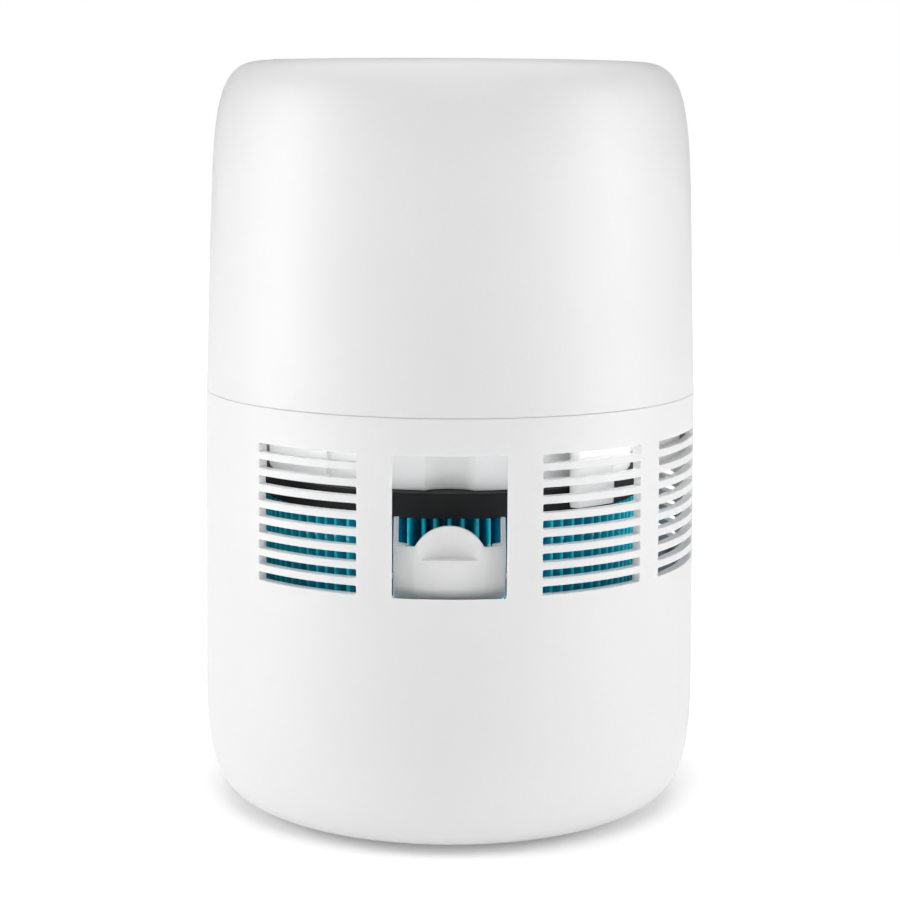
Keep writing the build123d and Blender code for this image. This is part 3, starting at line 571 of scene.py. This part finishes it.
def ribbon(stroke, width):
    """A closed thin strip along a stroke, as points and faces about a plan origin."""
    points, faces = [], []
    for i, here in enumerate(stroke):
        before = Vector(stroke[max(i - 1, 0)])
        beyond = Vector(stroke[min(i + 1, len(stroke) - 1)])
        along = (beyond - before).normalized()
        side = Vector((-along.y, along.x)) * width / 2
        for z in (-MARK_THICKNESS, MARK_THICKNESS):
            points.append((here[0] + side.x, here[1] + side.y, z))
            points.append((here[0] - side.x, here[1] - side.y, z))
    for i in range(len(stroke) - 1):
        a, b = 4 * i, 4 * (i + 1)
        faces += [(a, b, b + 1, a + 1), (a + 2, a + 3, b + 3, b + 2),
                  (a, a + 2, b + 2, b), (a + 1, b + 1, b + 3, a + 3)]
    end = 4 * (len(stroke) - 1)
    faces += [(0, 1, 3, 2), (end, end + 2, end + 3, end + 1)]
    return points, faces


def mark_on_key(name, node, body, strokes, ink):
    """Strokes in millimetres about the key's centre, up pointing away from the user at -X."""
    low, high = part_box(node)
    centre = (low + high) / 2
    points, faces = [], []
    for stroke in strokes:
        shape, sides = ribbon([(u * mm, v * mm) for u, v in stroke], 0.42 * mm)
        first = len(points)
        points += [(centre.x + v, centre.y - u, high.z + z) for u, v, z in shape]
        faces += [tuple(first + corner for corner in side) for side in sides]
    make_piece(name, points, faces, ink, body, smooth=False)


def drop_outline():
    """A water drop: a round belly that runs up to a point."""
    belly = arc_points((0, -0.7), 1.7, 62, 298)
    return [(0, 2.9), *belly, (0, 2.9)]


ink = printed_mark("key_ink", (0.16, 0.17, 0.18))
key_marks = {
    "power": [arc_points((0, -0.2), 2.4, 38, 322), [(0, 0.4), (0, 2.9)]],
    "speed": [arc_points((0.0, 0.0), 0.55, 0, 360, 12)]
    + [arc_points((1.45 * math.sin(a), 1.45 * math.cos(a)), 1.25, math.degrees(a) - 95,
                  math.degrees(a) + 95) for a in (0.0, 2 * math.pi / 3, 4 * math.pi / 3)],
    "humidity": [drop_outline()],
    "timer": [arc_points((0, 0), 2.5, 0, 360, 32), [(0, 1.7), (0, 0), (1.2, -0.5)]],
}
for key, strokes in key_marks.items():
    mark_on_key(key + "_mark", key + "_button", key + "_key", strokes, ink)


# --- indicator dots on the display ----------------------------------------------------------
def display_dots():
    """A row of small lamps along the curved window, of which the first four are lit."""
    low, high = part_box("display_lens")
    circle = -(low.x + 3.2 * mm)
    sides = 20
    lit = lit_dot("indicator_lit", (0.55, 0.85, 1.0), 2.0)
    unlit = lit_dot("indicator_dark", (0.05, 0.055, 0.06), 0.0)
    for index in range(9):
        angle = math.pi + math.radians((index - 4) * 2.7)
        centre = Vector(polar(circle, angle, high.z))
        points = []
        for z in (-0.02 * mm, 0.03 * mm):
            rim = [polar(0.55 * mm, 2 * math.pi * i / sides, z) for i in range(sides)]
            points += [tuple(centre + Vector(point)) for point in rim]
        faces = [tuple(reversed(range(sides))), tuple(range(sides, 2 * sides))]
        faces += [(i, (i + 1) % sides, sides + (i + 1) % sides, sides + i) for i in range(sides)]
        material = lit if index < 4 else unlit
        name = f"indicator_dot_{index + 1}"
        make_piece(name, points, faces, material, "head", smooth=False)


display_dots()


# --- floor, light and camera ----------------------------------------------------------------
def paper_floor():
    """White sweep that is lit from below, more so further out, so that it stays white all over; the
    glow falls to nothing next to the object, which paints its contact shadow.
    """
    finish = Finish("floor_white", Emission_Color=(1.0, 1.0, 1.0, 1.0))
    reach = finish.from_axis()
    # Painted shadow: less glow next to the object gives its contact shadow.
    near = finish.span(reach, 0.08, 0.16, 0.0, 0.47)
    far = finish.span(reach, 0.4, 2.0, 0.0, 0.55)
    finish.wire("Emission Strength", finish.math("ADD", near, far))
    fleck = finish.noise(60 * mm, detail=3)
    base = finish.blend(finish.span(fleck, 0.3, 0.7), (0.93, 0.93, 0.93), (0.95, 0.95, 0.95))
    finish.wire("Base Color", base)
    finish.wire("Roughness", finish.span(fleck, 0.3, 0.7, 0.85, 0.95))
    return finish.material


half = 4.0
floor_corners = [(-half, -half, 0), (half, -half, 0), (half, half, 0), (-half, half, 0)]
floor_mesh = bpy.data.meshes.new("floor")
floor_mesh.from_pydata(floor_corners, [], [(0, 1, 2, 3)])
floor_mesh.materials.append(paper_floor())
floor = bpy.data.objects.new("floor", floor_mesh)
bpy.context.scene.collection.objects.link(floor)


def studio_world(light_level):
    """Soft light from all round, and pure white where the background itself is seen."""
    world = bpy.data.worlds.new("studio")
    world.use_nodes = True
    tree = world.node_tree
    ambient = tree.nodes["Background"]
    ambient.inputs["Color"].default_value = (1.0, 1.0, 1.0, 1.0)
    ambient.inputs["Strength"].default_value = light_level
    backdrop = tree.nodes.new("ShaderNodeBackground")
    backdrop.inputs["Color"].default_value = (1.0, 1.0, 1.0, 1.0)
    seen = tree.nodes.new("ShaderNodeLightPath")
    mix = tree.nodes.new("ShaderNodeMixShader")
    tree.links.new(seen.outputs["Is Camera Ray"], mix.inputs["Fac"])
    tree.links.new(ambient.outputs["Background"], mix.inputs[1])
    tree.links.new(backdrop.outputs["Background"], mix.inputs[2])
    tree.links.new(mix.outputs["Shader"], tree.nodes["World Output"].inputs["Surface"])
    bpy.context.scene.world = world


def softbox(name, place, target, width, height, power, glossy=True):
    light = bpy.data.lights.new(name, "AREA")
    light.shape = "RECTANGLE"
    light.size, light.size_y = width, height
    light.energy = power
    lamp = bpy.data.objects.new(name, light)
    lamp.location = place
    lamp.rotation_euler = (Vector(target) - Vector(place)).to_track_quat("-Z", "Y").to_euler()
    lamp.visible_glossy = glossy
    bpy.context.scene.collection.objects.link(lamp)


def around(bearing, distance, height):
    """A place round the object. Bearings are in degrees from -Y towards +X."""
    turn = math.radians(bearing)
    return (distance * math.sin(turn), -distance * math.cos(turn), height)


def hidden_strip(name, place, target, width, height, power):
    """A small lamp inside the wall that isn't seen itself."""
    softbox(name, place, target, width, height, power, glossy=False)
    bpy.data.objects[name].visible_camera = False


def rim_glow(bearings, power):
    """Level strips under the tank's rim that light the parts behind the louvres."""
    for bearing in bearings:
        place, target = around(bearing, 111 * mm, 204 * mm), (0, 0, 154 * mm)
        hidden_strip(f"rim_glow_{bearing}", place, target, 50 * mm, 8 * mm, power)


def wick_glow(bearing, power):
    """An upright strip beside the window that rakes across the pleats."""
    place, target = around(bearing, 109 * mm, 130 * mm), (0, -90 * mm, 135 * mm)
    hidden_strip(f"wick_glow_{bearing}", place, target, 6 * mm, 44 * mm, power)


studio_world(0.03)
middle = (0, 0, 0.2)
softbox("overhead", (0, 0.1, 2.2), (0, 0.1, 0), 2.6, 2.6, 26.0)
softbox("front_high", (0, -1.3, 1.9), middle, 1.2, 0.8, 8.6)
softbox("front_fill", (0, -2.4, 0.5), middle, 0.5, 0.5, 1.9, glossy=False)
softbox("fill_left", around(-50, 2.4, 0.5), middle, 0.5, 0.5, 7.2, glossy=False)
softbox("fill_right", around(50, 2.4, 0.5), middle, 0.5, 0.5, 6.6, glossy=False)
softbox("side_left", around(-79, 1.5, 0.46), middle, 0.8, 1.3, 12.2)
softbox("side_right", around(76, 1.5, 0.46), middle, 0.8, 1.3, 10.6)
rim_glow((-98, -80, -62, -44), 0.0042)
rim_glow((44, 62, 80, 98), 0.006)
rim_glow((-26, 0, 26), 0.0015)
wick_glow(-21, 0.006)
wick_glow(21, 0.006)

bpy.context.scene.view_settings.view_transform = "Standard"

camera_data = bpy.data.cameras.new("camera")
camera_data.sensor_width = 36
camera_data.lens = 88.70
camera_data.shift_y = 0.0008
camera_data.clip_start = 0.05
camera = bpy.data.objects.new("camera", camera_data)
pitch_down, roll = 0.1547, 0.005
tilt = Matrix.Rotation(math.pi / 2 - pitch_down, 4, "X") @ Matrix.Rotation(roll, 4, "Z")
camera.matrix_world = Matrix.Translation((0, -1.127, 0.3542)) @ tilt
bpy.context.scene.collection.objects.link(camera)
bpy.context.scene.camera = camera
